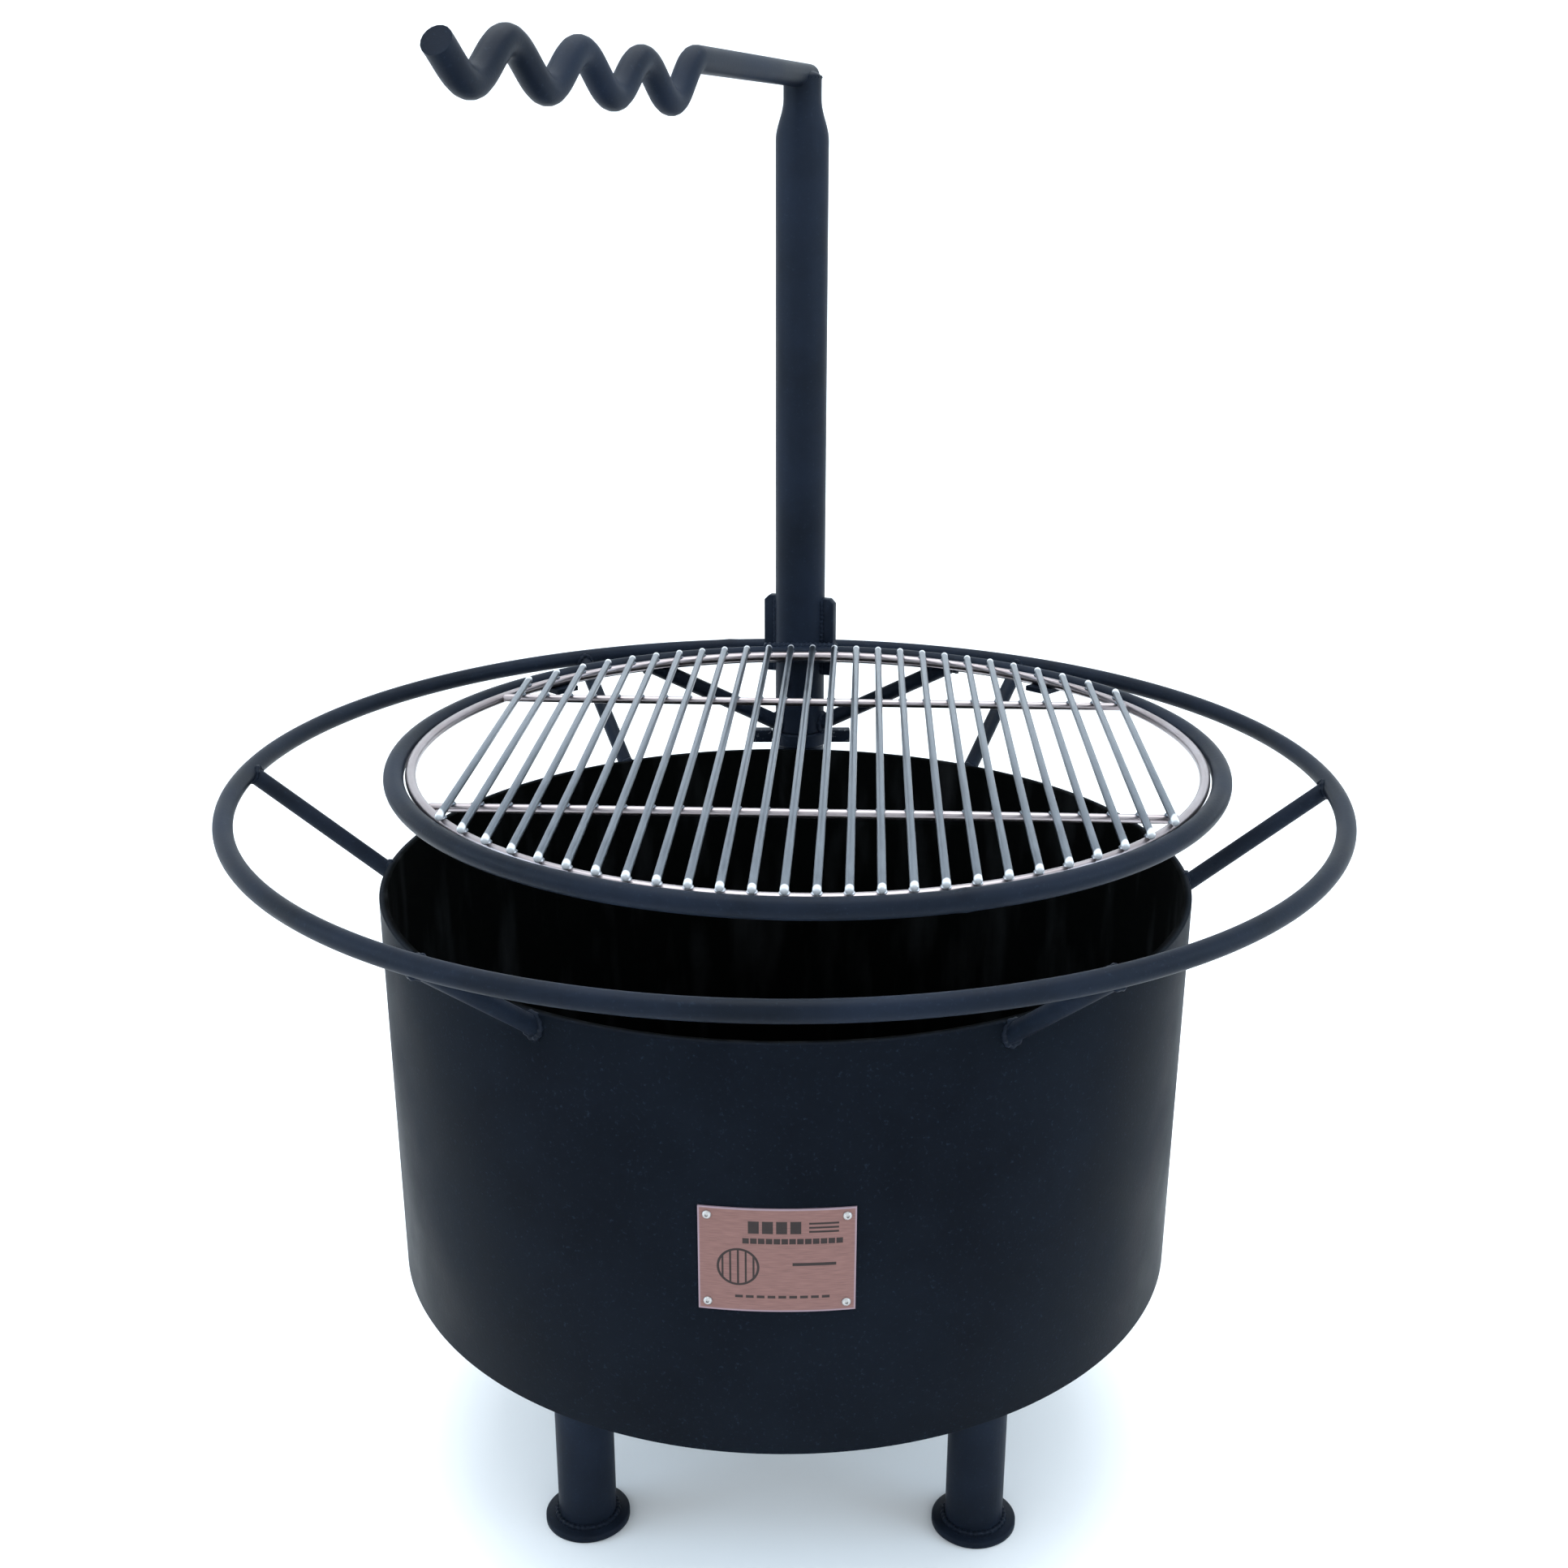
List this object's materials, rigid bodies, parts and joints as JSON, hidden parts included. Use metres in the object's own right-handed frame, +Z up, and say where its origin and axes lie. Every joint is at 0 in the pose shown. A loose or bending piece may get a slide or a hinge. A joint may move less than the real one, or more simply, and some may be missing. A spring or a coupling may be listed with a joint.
{
  "type": "fire pit with swing grate",
  "caption": "Round steel fire pit on legs with a raised hand ring, a back post with a wavy handle, and a lifting, swinging round cooking grate.",
  "frame": {"origin": "on the ground under the axis of the shell, at the centre of the hand ring in plan", "axes": "+Z up, +Y from the shell's axis to the lift post behind it, +X to the right seen from the front"},
  "size_m": [0.8267, 0.8268, 1.0699],
  "materials": {
    "shell_paint": "satin blue-black high-heat paint on rolled pipe",
    "black_paint": "satin blue-black high-heat paint on steel rod and pipe",
    "bare_steel": "greased turned bar",
    "screw_steel": "satin paint, worn at the corners",
    "grate_steel": "plated welded wire",
    "plate_metal": "copper-tinted printed sheet",
    "rivet_metal": "pressed rivet heads"
  },
  "bodies": {
    "pit": {"fire_shell": "shell_paint", "floor_plate": "shell_paint", "leg_1": "black_paint", "leg_2": "black_paint", "leg_3": "black_paint", "leg_4": "black_paint", "foot_pad_1": "black_paint", "foot_pad_2": "black_paint", "foot_pad_3": "black_paint", "foot_pad_4": "black_paint", "hand_ring": "black_paint", "ring_strut_1": "black_paint", "ring_strut_2": "black_paint", "ring_strut_3": "black_paint", "ring_strut_4": "black_paint", "ring_strut_5": "black_paint", "ring_strut_6": "black_paint", "post_socket": "black_paint", "socket_cap": "black_paint", "socket_gusset_left": "black_paint", "socket_gusset_right": "black_paint", "name_plate": "plate_metal", "plate_rivets": "rivet_metal"},
    "collar": {"rest_collar": "black_paint"},
    "left_screw": {"clamp_screw_left": "screw_steel"},
    "right_screw": {"clamp_screw_right": "screw_steel"},
    "swing_arm": {"lift_post": "black_paint", "guide_bar": "bare_steel", "post_wing_left": "black_paint", "post_wing_right": "black_paint", "brace_left": "black_paint", "brace_right": "black_paint", "frame_ring": "black_paint", "rest_tab_1": "black_paint", "rest_tab_2": "black_paint", "rest_tab_3": "black_paint", "rest_tab_4": "black_paint", "wavy_handle": "black_paint"},
    "cooking_grate": {"grate_rim": "grate_steel", "grate_bars": "grate_steel", "cross_bar_front": "grate_steel", "cross_bar_back": "grate_steel"}
  },
  "joints": [
    {"name": "arm_swing", "type": "hinge", "parent": "pit", "child": "collar", "pos_m": [0, 0.32713, 0.4878], "axis": [0, 0, 1], "range_deg": [-40, 35]},
    {"name": "arm_lift", "type": "slide", "parent": "collar", "child": "swing_arm", "axis": [0, 0, 1], "range_m": [0, 0.2]},
    {"name": "grate_lift_off", "type": "slide", "parent": "swing_arm", "child": "cooking_grate", "axis": [0, 0, 1], "range_m": [0, 0.12]},
    {"name": "left_screw_turn", "type": "hinge", "parent": "collar", "child": "left_screw", "pos_m": [-0.02996, 0.32569, 0.49435], "axis": [-0.9988, -0.048, 0], "range_deg": [-180, 180]},
    {"name": "right_screw_turn", "type": "hinge", "parent": "collar", "child": "right_screw", "pos_m": [0.02996, 0.32856, 0.49435], "axis": [0.9988, 0.048, 0], "range_deg": [-180, 180]}
  ]
}
